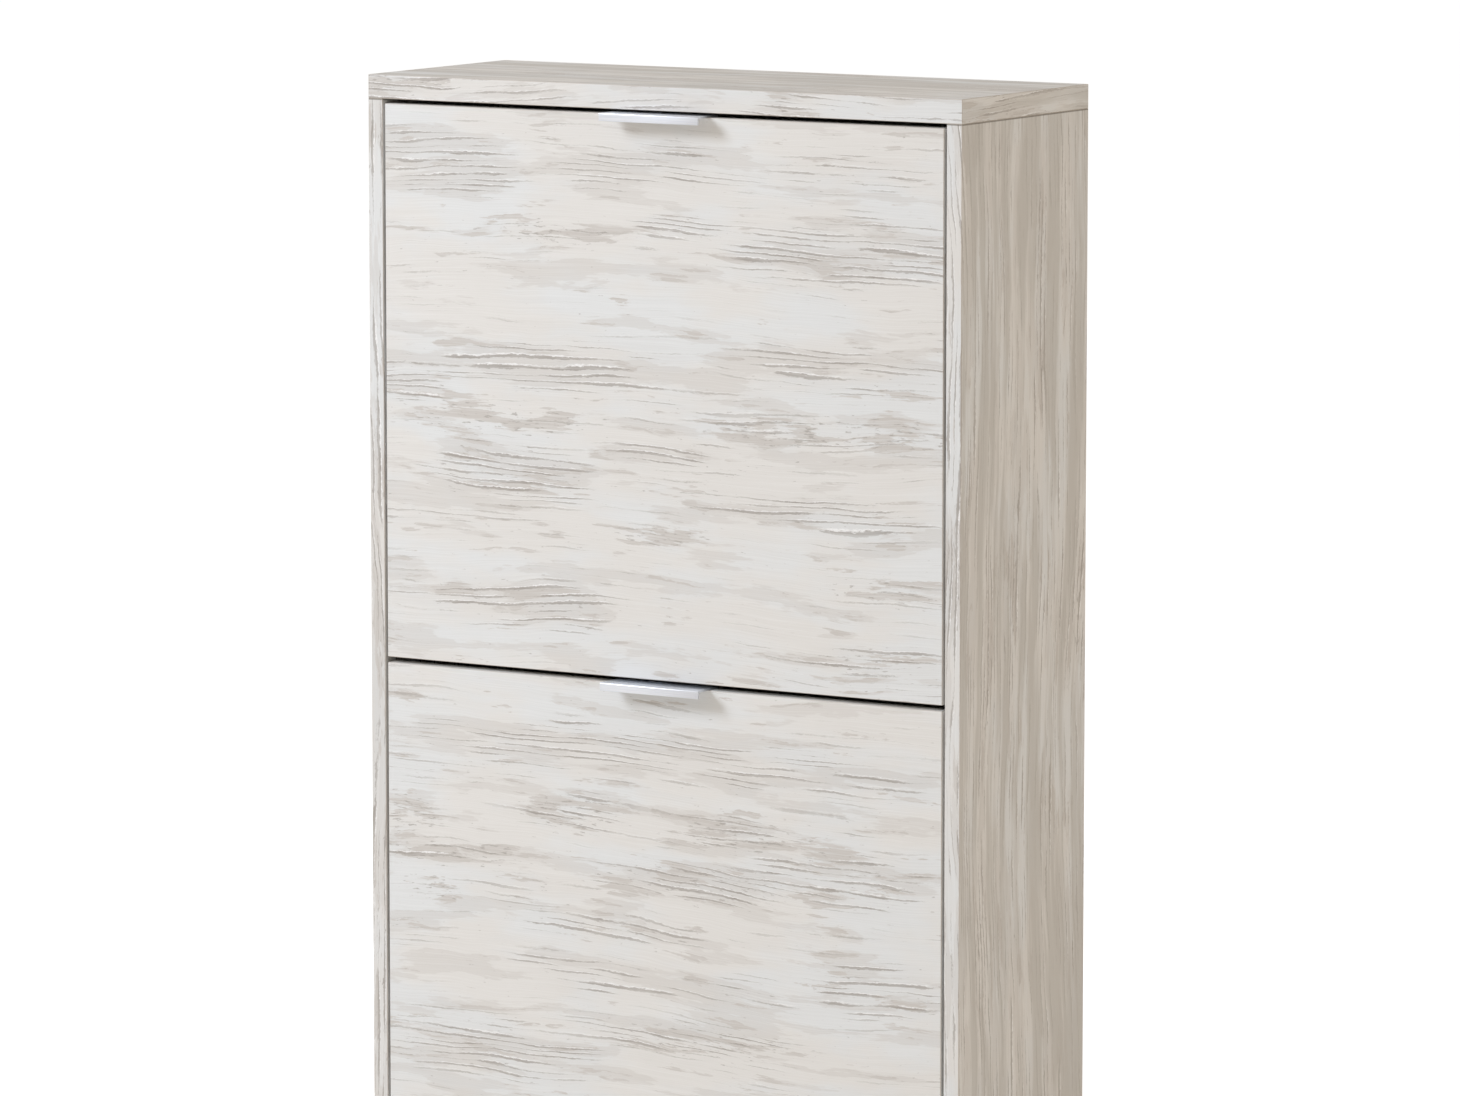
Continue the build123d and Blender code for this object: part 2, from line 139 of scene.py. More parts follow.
ringPrint = {
    "spacing": 6.0,          # mm
    "unevenness": 1.6,       # this and the next four are parts of the spacing
    "linePlace": 0.6,
    "rimPlace": 0.8,
    "raggedness": 0.34,
    "softEdge": 0.1,
    "rimWidth": 0.45,        # of the line's width
    "breakLength": 88.0,     # mm along a ring
    "breakStrength": 1.5,
    "breakShift": -0.26,
    "wearStrength": 0.42,
    "seedStep": 7.31,        # keeps the breaks of one ring apart from the next ring's
}
# length along the grain and height across it in mm, detail, roughness; the brush marks and tears
# are drawn two or three times as coarse as the real ones, so that they show
straightNoises = {
    "swell": (460, 190, 1, 0.4),
    "ripple": (75, 26, 2, 0.5),
    "haze": (170, 58, 3, 0.55),
}
bentNoises = {
    "wear": (230, 46, 2, 0.5),
    "spacing": (210, 17, 1, 0.5),
    "patch": (74, 10.5, 5, 0.6),
    "streak": (46, 1.5, 2, 0.6),
    "brush": (120, 0.9, 2, 0.6),
    "tear": (6, 1.3, 3, 0.65),
    "band": (380, 22, 4, 0.6),
    "cloud": (150, 21, 5, 0.6),
    "fleck": (13, 2.2, 3, 0.6),
}
# where each mask starts and ends on its noise, and how faint and how strong it gets
masks = {
    "ringWear": {"From Min": 0.42, "From Max": 0.68},
    "bareWear": {"From Min": 0.5, "From Max": 0.75},
    "wornArea": {"From Min": 2.0, "From Max": 1.05},
    "lineWidth": {"From Min": 0.56, "From Max": 0.98, "To Max": 0.22},
    "patch": {"From Min": 0.655, "From Max": 0.685},
    "brushed": {"From Min": 0.32, "From Max": 0.6, "To Min": 0.45, "To Max": 0.9},
    "brush": {"From Min": 0.5, "From Max": 0.8, "To Max": 0.2},
    "dryBrush": {"From Min": 0.5, "From Max": 0.2, "To Max": 0.13},
    "cloud": {"From Min": 0.57, "From Max": 0.61, "To Max": 0.34},
    "haze": {"From Min": 0.35, "From Max": 0.62},
    "paleness": {"From Min": 0.3, "From Max": 0.7, "To Min": 0.42, "To Max": 0.85},
    "faint": {"From Max": 0.6, "To Min": 0.25},
    "flecks": {"From Min": 0.74, "From Max": 0.8, "To Max": 0.6},
    "band": {"From Min": 0.42, "From Max": 0.6, "To Max": 0.75},
    "arris": {"From Min": 0.97, "From Max": 0.85, "To Max": 0.6},
}
# how much wear adds to a noise before its mask is cut
wearLift = {"patch": 0.17, "cloud": 0.13, "flecks": 0.14}
# worn areas in mm: from the left, from the top, half length, half height, then how many ring lines
# and bare patches show, from 0 to 1
upperFlapWear = [
    (60, 48, 85, 30, 1.0, 0.1), (264, 48, 100, 28, 0.9, 0.1), (476, 38, 90, 22, 0.7, 0.2),
    (186, 106, 80, 15, 0.6, 1.0), (301, 96, 55, 12, 0.8, 0.6), (465, 112, 110, 34, 1.0, 0.5),
    (454, 208, 120, 22, 0.9, 0.3), (180, 222, 135, 24, 1.0, 0.1), (20, 236, 45, 26, 0.9, 0.4),
    (120, 270, 140, 15, 0.2, 0.9), (446, 266, 130, 17, 0.5, 1.0), (126, 320, 95, 28, 1.0, 0.6),
    (300, 292, 70, 18, 1.0, 0.4), (440, 332, 135, 18, 0.9, 0.3), (275, 364, 70, 12, 0.2, 0.9),
    (134, 432, 145, 22, 0.9, 0.5), (508, 397, 70, 14, 0.2, 0.8), (484, 457, 85, 14, 0.8, 0.6),
]
lowerFlapWear = [
    (278, 64, 270, 24, 0.9, 0.0), (195, 120, 70, 20, 0.7, 1.0), (23, 137, 35, 22, 0.5, 1.0),
    (80, 163, 100, 14, 0.8, 1.0), (348, 124, 90, 20, 0.7, 1.0), (320, 176, 125, 20, 0.8, 0.8),
    (51, 197, 30, 12, 0.3, 0.9), (463, 152, 95, 28, 0.8, 0.5), (264, 217, 125, 15, 0.7, 0.5),
    (510, 246, 65, 26, 0.8, 0.3), (240, 262, 200, 22, 0.6, 0.1), (330, 310, 150, 20, 0.7, 0.7),
    (120, 340, 120, 24, 0.9, 0.4), (420, 385, 130, 26, 0.9, 0.5), (200, 440, 170, 22, 0.8, 0.7),
]
# what a board is cut from: which way its grain runs, where on the print it lies, its raw edges, and
# for the carcass how dark the painted shadow under the top is and how far it is lined all over
boards = {
    "upper_flap_flap_panel": {"grain": "x", "shift": (310, 95), "worn": upperFlapWear},
    "lower_flap_flap_panel": {"grain": "x", "shift": (905, 431), "worn": lowerFlapWear},
    "top_panel": {
        "grain": "x", "shift": (40, 700), "raw": [(0, 1, 0)], "carcass": True, "lined": 0.4,
    },
    "side_panel_left": {
        "grain": "z", "shift": (120, 80), "raw": [(0, 1, 0), (0, 0, -1)], "carcass": True,
        "joint": 0.8, "lined": 0.55,
    },
    "side_panel_right": {
        "grain": "z", "shift": (640, 310), "raw": [(0, 1, 0), (0, 0, -1)], "carcass": True,
        "joint": 0.8, "lined": 0.55,
    },
    "bottom_panel": {"grain": "x", "shift": (910, 20), "raw": [(0, 1, 0)]},
    "plinth": {"grain": "x", "shift": (330, 55), "raw": [(0, 0, -1)]},
    "upper_rear_rail": {"grain": "x", "shift": (760, 44), "raw": [(0, 0, 1), (0, 0, -1)]},
    "middle_rear_rail": {"grain": "x", "shift": (520, 70), "raw": [(0, 0, 1), (0, 0, -1)]},
}
chips = {"size": 2.4, "dark": "#8E6C47", "light": "#D8BD93"}     # mm
# how squarely a face has to look along an axis to count as an end, a side or a raw edge
endLimit, sideLimit, rawLimit = 0.75, 0.7, 0.9


def grainLines(add, board, size, position, facing):
    # millimetres along the grain and across it; on the ends the grain follows the edging tape
    x, y, z = position
    grainIsX = board["grain"] == "x"
    values = {0: facing["X" if grainIsX else "Z"], 1: endLimit}
    onEnd = add("Math", values, operation="GREATER_THAN")
    values = {0: y, 1: z} if grainIsX else {0: x, 1: y}
    faceAcross = add("Math", values, operation="ADD")
    endAlong, endAcross = y, z if grainIsX else x
    if grainIsX and size.z > size.y:     # on an upright board the tape runs upwards
        endAlong, endAcross = z, y
    along = add("Mix", {0: onEnd, 2: x if grainIsX else z, 3: endAlong})
    across = add("Mix", {0: onEnd, 2: faceAcross, 3: endAcross})
    return along, across


def printNoises(add, shifted):
    # the noises of the print, and the point on the bent rings that most of them are drawn at
    noises, drawnAt = {}, shifted
    for layers in (straightNoises, bentNoises):
        for layer, (length, height, detail, roughness) in layers.items():
            squeeze = {0: drawnAt, 1: (1 / length, 1 / height, 0)}
            squeezed = add("VectorMath", squeeze, operation="MULTIPLY")
            values = {"Vector": squeezed, "Scale": 1.0, "Detail": detail, "Roughness": roughness}
            noises[layer] = add("TexNoise", values, noise_dimensions="2D")
        if layers is straightNoises:
            values = {0: noises["swell"], 1: whitewash["swellHeight"]}
            swell = add("Math", values, operation="MULTIPLY")
            values = {0: noises["ripple"], 1: whitewash["rippleHeight"], 2: swell}
            bend = add("CombineXYZ", {"Y": add("Math", values, operation="MULTIPLY_ADD")})
            drawnAt = add("VectorMath", {0: shifted, 1: bend}, operation="ADD")
    return noises, drawnAt


def wornAreas(add, board, corners, along, across, noises):
    # where ring lines show and where the ground is bare, with ragged outlines
    ringWear = add("MapRange", {"Value": noises["wear"], **masks["ringWear"]})
    bareWear = add("MapRange", {"Value": noises["wear"], **masks["bareWear"]})
    if "worn" in board:
        low, high = corners
        here = add("CombineXYZ", {"X": along, "Y": across})
        ringWear = add("Math", {0: ringWear, 1: whitewash["calmWear"]}, operation="MULTIPLY")
        bareWear = add("Math", {0: bareWear, 1: whitewash["calmWear"]}, operation="MULTIPLY")
        for fromLeft, fromTop, halfLength, halfHeight, rings, bare in board["worn"]:
            centre = Vector((low.x + fromLeft, low.y + high.z - fromTop, 0))
            size = Vector((1 / halfLength, 1 / halfHeight, 1))
            values = {"Vector": here, "Location": -centre * size, "Scale": size}
            offset = add("Mapping", values)
            distance = add("VectorMath", {0: offset}, out="Value", operation="LENGTH")
            values = {0: noises["haze"], 1: whitewash["raggedOutline"], 2: distance}
            distance = add("Math", values, operation="MULTIPLY_ADD")
            values = {"Value": distance, "To Max": rings, **masks["wornArea"]}
            area = add("MapRange", values, interpolation_type="SMOOTHSTEP")
            ringWear = add("Math", {0: ringWear, 1: area}, operation="MAXIMUM")
            area = add("Math", {0: area, 1: bare / max(rings, 0.1)}, operation="MULTIPLY")
            bareWear = add("Math", {0: bareWear, 1: area}, operation="MAXIMUM")
    if "lined" in board:
        ringWear = add("Math", {0: ringWear, 1: board["lined"]}, operation="MAXIMUM")
    return ringWear, bareWear


def ringLines(add, drawnAt, noises, ringWear):
    # dark lines and their white rims, the rims a painted highlight: each ring gets its own breaks,
    # and thins out towards them
    r = ringPrint
    bentAlong, bentAcross = add("SeparateXYZ", {0: drawnAt}).node.outputs[:2]
    ring = add("Math", {0: bentAcross, 1: r["spacing"]}, operation="DIVIDE")
    values = {0: noises["spacing"], 1: r["unevenness"], 2: ring}
    ring = add("Math", values, operation="MULTIPLY_ADD")
    ringNumber = add("Math", {0: ring}, operation="FLOOR")
    ringPlace = add("Math", {0: ring}, operation="FRACT")
    stretch = add("Math", {0: bentAlong, 1: r["breakLength"]}, operation="DIVIDE")
    seed = add("Math", {0: ringNumber, 1: r["seedStep"]}, operation="MULTIPLY")
    ownPoint = add("CombineXYZ", {"X": stretch, "Y": seed})
    values = {"Vector": ownPoint, "Scale": 1.0, "Detail": 2.0, "Roughness": 0.55}
    breaks = add("TexNoise", values, noise_dimensions="2D")
    values = {0: breaks, 1: r["breakStrength"], 2: r["breakShift"]}
    breaks = add("Math", values, operation="MULTIPLY_ADD")
    values = {0: ringWear, 1: r["wearStrength"], 2: breaks}
    strength = add("Math", values, operation="MULTIPLY_ADD")
    lineWidth = add("MapRange", {"Value": strength, **masks["lineWidth"]})
    rimWidth = add("Math", {0: lineWidth, 1: r["rimWidth"]}, operation="MULTIPLY")
    values = {0: noises["tear"], 1: r["raggedness"], 2: ringPlace}
    ragged = add("Math", values, operation="MULTIPLY_ADD")
    drawn = []
    for centre, width in ((r["linePlace"], lineWidth), (r["rimPlace"], rimWidth)):
        offset = add("Math", {0: ragged, 1: centre}, operation="SUBTRACT")
        offset = add("Math", {0: offset}, operation="ABSOLUTE")
        inside = add("Math", {0: width, 1: offset}, operation="SUBTRACT")
        values = {"Value": inside, "From Max": r["softEdge"]}
        drawn.append(add("MapRange", values, interpolation_type="SMOOTHSTEP"))
    return drawn


def brushedPaint(add, noises, line, rim, ringWear, bareWear):
    # the layers of paint from the ground up, each as how much of it shows and its colour
    values = {0: bareWear, 1: wearLift["patch"], 2: noises["patch"]}
    bareness = add("Math", values, operation="MULTIPLY_ADD")
    values = {"Value": bareness, **masks["patch"]}
    patch = add("MapRange", values, interpolation_type="SMOOTHSTEP")
    brushed = add("MapRange", {"Value": noises["streak"], **masks["brushed"]})
    patch = add("Math", {0: patch, 1: brushed}, operation="MULTIPLY")     # keeps the brush marks
    brush = add("MapRange", {"Value": noises["brush"], **masks["brush"]})
    dryBrush = add("MapRange", {"Value": noises["brush"], **masks["dryBrush"]})
    values = {0: ringWear, 1: wearLift["cloud"], 2: noises["cloud"]}
    cloud = add("Math", values, operation="MULTIPLY_ADD")
    values = {"Value": cloud, **masks["cloud"]}
    cloud = add("MapRange", values, interpolation_type="SMOOTHSTEP")
    values = {"Value": noises["haze"], **masks["haze"]}
    haze = add("MapRange", values, interpolation_type="SMOOTHSTEP")
    paleness = add("MapRange", {"Value": noises["streak"], **masks["paleness"]})
    faint = add("MapRange", {"Value": ringWear, **masks["faint"]})
    softLine = add("Math", {0: line, 1: paleness}, operation="MULTIPLY")
    softLine = add("Math", {0: softLine, 1: faint}, operation="MULTIPLY")
    # the rim is a painted highlight, faded where the rings are faint
    softHighlightRim = add("Math", {0: rim, 1: faint}, operation="MULTIPLY")
    values = {0: bareWear, 1: wearLift["flecks"], 2: noises["fleck"]}
    flecks = add("Math", values, operation="MULTIPLY_ADD")
    flecks = add("MapRange", {"Value": flecks, **masks["flecks"]})
    softBare = add("Math", {0: ringWear, 1: whitewash["ringTint"]}, operation="MULTIPLY")
    return [
        (haze, "cream"), (cloud, "bare"), (softBare, "bare"), (dryBrush, "bare"), (patch, "bare"),
        (flecks, "ringLine"), (softLine, "ringLine"), (softHighlightRim, "rim"), (brush, "rim"),
    ]


def chipboardCore(add, board, corners, point, normal):
    # shows on raw edges and inside bores
    low, high = corners
    depth = add("VectorMath", {0: point, 1: (low + high) / 2}, operation="SUBTRACT")
    depth = add("VectorMath", {0: depth}, operation="ABSOLUTE")
    depth = add("VectorMath", {0: depth, 1: (high - low) / 2}, operation="SUBTRACT")
    depthX, depthY, depthZ = add("SeparateXYZ", {0: depth}).node.outputs
    nearest = add("Math", {0: depthX, 1: depthY}, operation="MAXIMUM")
    nearest = add("Math", {0: nearest, 1: depthZ}, operation="MAXIMUM")
    core = add("Math", {0: nearest, 1: -whitewash["faceDepth"]}, operation="LESS_THAN")
    for direction in board.get("raw", []):
        values = {0: normal, 1: direction}
        rawEdge = add("VectorMath", values, out="Value", operation="DOT_PRODUCT")
        rawEdge = add("Math", {0: rawEdge, 1: rawLimit}, operation="GREATER_THAN")
        core = add("Math", {0: core, 1: rawEdge}, operation="MAXIMUM")
    values = {"Vector": point, "Scale": 1 / chips["size"], "Randomness": 1.0}
    return core, add("TexVoronoi", values, out="Color")


def whitewashedPine(nodeName, board):
    w = whitewash
    material, tree, shader = newMaterial("whitewashedPine_" + nodeName)
    add = partial(addNode, tree)
    texture = add("TexCoord").node.outputs
    point = add("VectorMath", {0: texture["Object"], 1: (1000, 1000, 1000)}, operation="MULTIPLY")
    position = add("SeparateXYZ", {0: point}).node.outputs
    facing = add("VectorMath", {0: texture["Normal"]}, operation="ABSOLUTE")
    facing = add("SeparateXYZ", {0: facing}).node.outputs
    low, high = [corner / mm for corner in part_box(nodeName)]

    along, across = grainLines(add, board, high - low, position, facing)
    shifted = add("CombineXYZ", {"X": along, "Y": across})
    shifted = add("VectorMath", {0: shifted, 1: (*board["shift"], 0)}, operation="ADD")
    noises, drawnAt = printNoises(add, shifted)
    ringWear, bareWear = wornAreas(add, board, (low, high), along, across, noises)
    line, rim = ringLines(add, drawnAt, noises, ringWear)

    layers = brushedPaint(add, noises, line, rim, ringWear, bareWear)
    if "carcass" in board:
        onSide = add("Math", {0: facing["Y"], 1: sideLimit}, operation="LESS_THAN")
        values = {"Value": noises["band"], **masks["band"]}
        band = add("MapRange", values, interpolation_type="SMOOTHSTEP")
        layers.append((add("Math", {0: band, 1: onSide}, operation="MULTIPLY"), "sideBand"))
    # painted shadow along the upper end of a side, where the top sits on it
    if "joint" in board:
        fromTop = add("Math", {0: high.z, 1: position["Z"]}, operation="SUBTRACT")
        values = {"Value": fromTop, "From Min": w["jointHeight"], "From Max": w["jointHeight"] / 2}
        values["To Max"] = board["joint"]
        layers.append((add("MapRange", values), "joint"))

    # edging tape shows its glue line on the arris
    flatness = add("Math", {0: facing["X"], 1: facing["Y"]}, operation="MAXIMUM")
    flatness = add("Math", {0: flatness, 1: facing["Z"]}, operation="MAXIMUM")
    layers.append((add("MapRange", {"Value": flatness, **masks["arris"]}), "arris"))
    colour = linearColour(w["white"])
    for mask, name in layers:
        values = {0: mask, 6: colour, 7: linearColour(w[name])}
        colour = add("Mix", values, out=2, data_type="RGBA")

    core, chip = chipboardCore(add, board, (low, high), point, texture["Normal"])
    values = {0: chip, 6: linearColour(chips["dark"]), 7: linearColour(chips["light"])}
    chipColour = add("Mix", values, out=2, data_type="RGBA")
    colour = add("Mix", {0: core, 6: colour, 7: chipColour}, out=2, data_type="RGBA")
    tree.links.new(colour, shader.inputs["Base Color"])

    # the lines are pressed in, and the rims and brush marks stand up
    height = add("Math", {0: line, 1: -1.0, 2: rim}, operation="MULTIPLY_ADD")
    values = {0: noises["brush"], 1: w["brushRelief"], 2: height}
    height = add("Math", values, operation="MULTIPLY_ADD")
    height = add("Mix", {0: core, 2: height, 3: chip})
    values = {"Strength": w["bumpStrength"], "Distance": w["embossing"] * mm, "Height": height}
    tree.links.new(add("Bump", values), shader.inputs["Normal"])
    values = {0: core, 1: w["chipRoughness"], 2: w["roughness"]}
    rough = add("Math", values, operation="MULTIPLY_ADD")
    values = {0: noises["streak"], 1: w["streakRoughness"], 2: rough}
    rough = add("Math", values, operation="MULTIPLY_ADD")
    tree.links.new(rough, shader.inputs["Roughness"])
    return material


for boardName, board in boards.items():
    paint(boardName, whitewashedPine(boardName, board))
print("boards finished")


# the other finishes: two tones, the grain of their blend and of the bump, and its depth, in mm;
# the bump's grain is coarser than the real one where that would be too fine to show
finishes = {
    # anodised aluminium, extruded: a cool silver with fine lines along the profile
    "anodisedAluminium": {
        "tones": ("#F3F6FC", "#E6EBF4"), "blend": (60, 0.5, 0.5), "bump": (90, 0.25, 0.25),
        "depth": 0.01, "shader": {"Metallic": 1.0, "Roughness": 0.42},
    },
    # moulded polypropylene: milky, with the mould's fine spark grain
    "mouldedPolypropylene": {
        "tones": ("#E0E0DC", "#D6D6D1"), "blend": (30, 30, 30), "bump": (0.5, 0.5, 0.5),
        "depth": 0.03, "shader": {"Roughness": 0.46, "IOR": 1.49},
    },
    # zinc plated steel: bright blue-grey with a faint yellow cast in places
    "zincPlatedSteel": {
        "tones": ("#C9CDD3", "#BDBDB0"), "blend": (3, 3, 3), "bump": (0.4, 0.4, 0.4),
        "depth": 0.01, "shader": {"Metallic": 1.0, "Roughness": 0.3},
    },
    # zinc alloy, die cast: duller and grainier
    "castZincAlloy": {
        "tones": ("#B4B6B8", "#9C9EA0"), "blend": (2, 2, 2), "bump": (0.6, 0.6, 0.6),
        "depth": 0.03, "shader": {"Metallic": 1.0, "Roughness": 0.48},
    },
    # beech, turned into dowels: fine even streaks
    "turnedBeech": {
        "tones": ("#D9B98E", "#BF9564"), "blend": (14, 0.8, 0.8), "bump": (8, 0.4, 0.4),
        "depth": 0.03, "shader": {"Roughness": 0.7},
    },
    # polyethylene glides: waxy, a little scuffed
    "waxyPolyethylene": {
        "tones": ("#D5D4CE", "#C6C4BC"), "blend": (5, 5, 5), "bump": (0.7, 0.7, 0.7),
        "depth": 0.02, "shader": {"Roughness": 0.42, "IOR": 1.5},
    },
}
roughnessSpread = 0.06
blendRange = {"From Min": 0.35, "From Max": 0.65}


def makeFinish(name, finish):
    material, tree, shader = newMaterial(name, **finish["shader"])
    add = partial(addNode, tree)
    point = add("TexCoord", out="Object")
    noises = []
    for size in (finish["blend"], finish["bump"]):
        scaled = {"Vector": point, "Scale": [1000 / s for s in size]}
        values = {"Vector": add("Mapping", scaled), "Scale": 1.0, "Detail": 3.0}
        noises.append(add("TexNoise", values))
    blend = add("MapRange", {"Value": noises[0], **blendRange})
    tones = [linearColour(tone) for tone in finish["tones"]]
    colour = add("Mix", {0: blend, 6: tones[0], 7: tones[1]}, out=2, data_type="RGBA")
    tree.links.new(colour, shader.inputs["Base Color"])
    rough, spread = finish["shader"]["Roughness"], roughnessSpread
    values = {"Value": noises[1], "To Min": rough - spread, "To Max": rough + spread}
    tree.links.new(add("MapRange", values), shader.inputs["Roughness"])
    values = {"Strength": 0.5, "Distance": finish["depth"] * mm, "Height": noises[1]}
    tree.links.new(add("Bump", values), shader.inputs["Normal"])
    return material


materials = {name: makeFinish(name, finish) for name, finish in finishes.items()}

# Hardboard is pressed fibre, lacquered white on one face. Its edges and back stay brown.
hardboard = {
    "lacquer": "#E2E1DC",
    "lacquerShade": "#D9D7D0",
    "fibre": "#8A6544",
    "fibreLight": "#A98460",
    "fibreSize": 1.6,      # mm
    "shadeSize": 40.0,     # mm, the slow change of the lacquer's tone
    "peelSize": 1.2,       # mm, the orange peel of the lacquer
    "screenPitch": 1.4,    # mm, the print of the press screen on the back
    "relief": 0.12,        # mm
    "peelRelief": 0.25,    # of the relief
    "screenRelief": 0.6,
    "faceLimit": 0.8,      # how squarely a face has to look to the white side or the back
    "lacquerRoughness": 0.42,
    "fibreRoughness": 0.8,
}


def lacqueredHardboard(nodeName):
    h = hardboard
    material, tree, shader = newMaterial("lacqueredHardboard_" + nodeName)
    add = partial(addNode, tree)
    texture = add("TexCoord").node.outputs
    point = add("VectorMath", {0: texture["Object"], 1: (1000, 1000, 1000)}, operation="MULTIPLY")
    face = max(nodes[nodeName].data.polygons, key=lambda polygon: polygon.area).normal.copy()
    if face.dot((0, -1, 1)) < 0:     # the white face looks to the front or up
        face.negate()
    values = {0: texture["Normal"], 1: face}
    likeness = add("VectorMath", values, out="Value", operation="DOT_PRODUCT")
    lacquered = add("Math", {0: likeness, 1: h["faceLimit"]}, operation="GREATER_THAN")
    onBack = add("Math", {0: likeness, 1: -h["faceLimit"]}, operation="LESS_THAN")
    soft = add("TexNoise", {"Vector": point, "Scale": 1 / h["shadeSize"], "Detail": 3.0})
    peel = add("TexNoise", {"Vector": point, "Scale": 1 / h["peelSize"], "Detail": 1.0})
    values = {"Vector": point, "Scale": 1 / h["fibreSize"], "Detail": 4.0, "Distortion": 1.2}
    fibre = add("TexNoise", values)
    values = {0: soft, 6: linearColour(h["lacquer"]), 7: linearColour(h["lacquerShade"])}
    white = add("Mix", values, out=2, data_type="RGBA")
    fibreMask = add("MapRange", {"Value": fibre, **blendRange})
    values = {0: fibreMask, 6: linearColour(h["fibre"]), 7: linearColour(h["fibreLight"])}
    brown = add("Mix", values, out=2, data_type="RGBA")
    colour = add("Mix", {0: lacquered, 6: brown, 7: white}, out=2, data_type="RGBA")
    tree.links.new(colour, shader.inputs["Base Color"])
    turn = 2 * math.pi / h["screenPitch"]
    x, y, z = add("SeparateXYZ", {0: point}).node.outputs
    weave = add("Math", {0: add("Math", {0: x, 1: turn}, operation="MULTIPLY")}, operation="SINE")
    weft = add("Math", {0: add("Math", {0: z, 1: turn}, operation="MULTIPLY")}, operation="SINE")
    screen = add("Math", {0: weave, 1: weft}, operation="MULTIPLY")
    screen = add("Math", {0: screen, 1: onBack}, operation="MULTIPLY")
    softPeel = add("Math", {0: peel, 1: h["peelRelief"]}, operation="MULTIPLY")
    grain = add("Mix", {0: lacquered, 2: fibre, 3: softPeel})
    values = {0: screen, 1: h["screenRelief"], 2: grain}
    height = add("Math", values, operation="MULTIPLY_ADD")
    values = {"Strength": 0.5, "Distance": h["relief"] * mm, "Height": height}
    tree.links.new(add("Bump", values), shader.inputs["Normal"])
    values = {"Value": lacquered, "To Min": h["fibreRoughness"], "To Max": h["lacquerRoughness"]}
    tree.links.new(add("MapRange", values), shader.inputs["Roughness"])
    return material


finishOf = {
    "handle_screws": "zincPlatedSteel",
    "cheek_screws": "zincPlatedSteel",
    "pivot_plates": "zincPlatedSteel",
    "pivot_plate_screws": "zincPlatedSteel",
    "guide_screws": "zincPlatedSteel",
    "back_panel_nails": "zincPlatedSteel",
    "cam_bolts": "zincPlatedSteel",
    "cam_locks": "castZincAlloy",
    "wooden_dowels": "turnedBeech",
    "floor_glides": "waxyPolyethylene",
    "handle": "anodisedAluminium",
    "cheek_left": "mouldedPolypropylene",
    "cheek_right": "mouldedPolypropylene",
}
for nodeName in nodes:
    shortName = shortNameOf(nodeName)
    if shortName in finishOf:
        paint(nodeName, materials[finishOf[shortName]])
    elif nodeName == "back_panel" or nodeName.endswith("_shelf"):
        paint(nodeName, lacqueredHardboard(nodeName))
print("finishes made")

# moulded and extruded pieces get their small rounded edges, which catch the light
roundings = {"handle": 0.25, "cheek_left": 0.5, "cheek_right": 0.5}     # mm
roundedFrom = 35     # degrees between two faces
mergeDistance = 0.001 * mm
bodyOf = {nodeName: bodyName for bodyName in frame["bodies"] for nodeName in nodes
          if nodeName.startswith(bodyName + "_")}


def addPiece(name, mesh, nodeName):
    piece = bpy.data.objects.new(name, mesh)
    bpy.context.collection.objects.link(piece)
    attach(piece, bodyOf.get(nodeName, "carcass"))
    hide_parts(nodeName)
    return piece


def evaluatedMesh(item):
    graph = bpy.context.evaluated_depsgraph_get()
    mesh = bpy.data.meshes.new_from_object(item.evaluated_get(graph))
    bpy.data.objects.remove(item)
    return mesh


def roundedMesh(nodeName, radius):
    shell = bmesh.new()
    shell.from_mesh(nodes[nodeName].data)
    bmesh.ops.remove_doubles(shell, verts=shell.verts, dist=mergeDistance)
    flat = math.radians(0.5)
    bmesh.ops.dissolve_limit(shell, angle_limit=flat, verts=shell.verts, edges=shell.edges)
    for face in shell.faces:
        face.smooth = True
    mesh = bpy.data.meshes.new(nodeName + "_rounded")
    shell.to_mesh(mesh)
    shell.free()
    item = bpy.data.objects.new("rounding", mesh)
    bpy.context.collection.objects.link(item)
    bevel = item.modifiers.new("edges", "BEVEL")
    bevel.width = radius * mm
    bevel.segments = 2
    bevel.limit_method = "ANGLE"
    bevel.angle_limit = math.radians(roundedFrom)
    bevel.harden_normals = True
    return evaluatedMesh(item)


for nodeName in list(nodes):
    shortName = shortNameOf(nodeName)
    if shortName in roundings:
        mesh = roundedMesh(nodeName, roundings[shortName])
        mesh.materials.clear()
        mesh.materials.append(materials[finishOf[shortName]])
        addPiece(nodeName + "_rounded", mesh, nodeName)
print("rounded pieces made")

# screws: a turned head with a cross recess, a shank and a rolled thread, all in mm
screws = {
    "headSides": 32,
    "headHeight": 2.0,
    "headEdge": 0.8,
    "recessWidth": 0.9,
    "recessReach": 0.62,     # of the head's radius
    "recessDepth": 1.2,
    "recessFoot": 0.6,       # of the recess at the top
    "shankSides": 16,
    "threadLength": 0.7,     # of the screw's length
    "threadPitch": 1.2,
    "threadHeight": 0.28,
    "turnSeed": 4,           # how far each screw happens to be turned
}


def solidsOf(nodeName):
    # the lowest and highest corner and the points of every separate solid in a CAD node
    shell = bmesh.new()
    shell.from_mesh(nodes[nodeName].data)
    bmesh.ops.remove_doubles(shell, verts=shell.verts, dist=mergeDistance)
    waiting, solids = set(shell.verts), []
    while waiting:
        stack, solid = [waiting.pop()], []
        while stack:
            vert = stack.pop()
            solid.append(vert.co.copy())
            for edge in vert.link_edges:
                other = edge.other_vert(vert)
                if other in waiting:
                    waiting.remove(other)
                    stack.append(other)
        low = Vector([min(point[i] for point in solid) for i in range(3)])
        high = Vector([max(point[i] for point in solid) for i in range(3)])
        solids.append((low, high, solid))
    shell.free()
    solids.sort(key=lambda solid: tuple(round(value, 5) for value in solid[0]))
    return solids


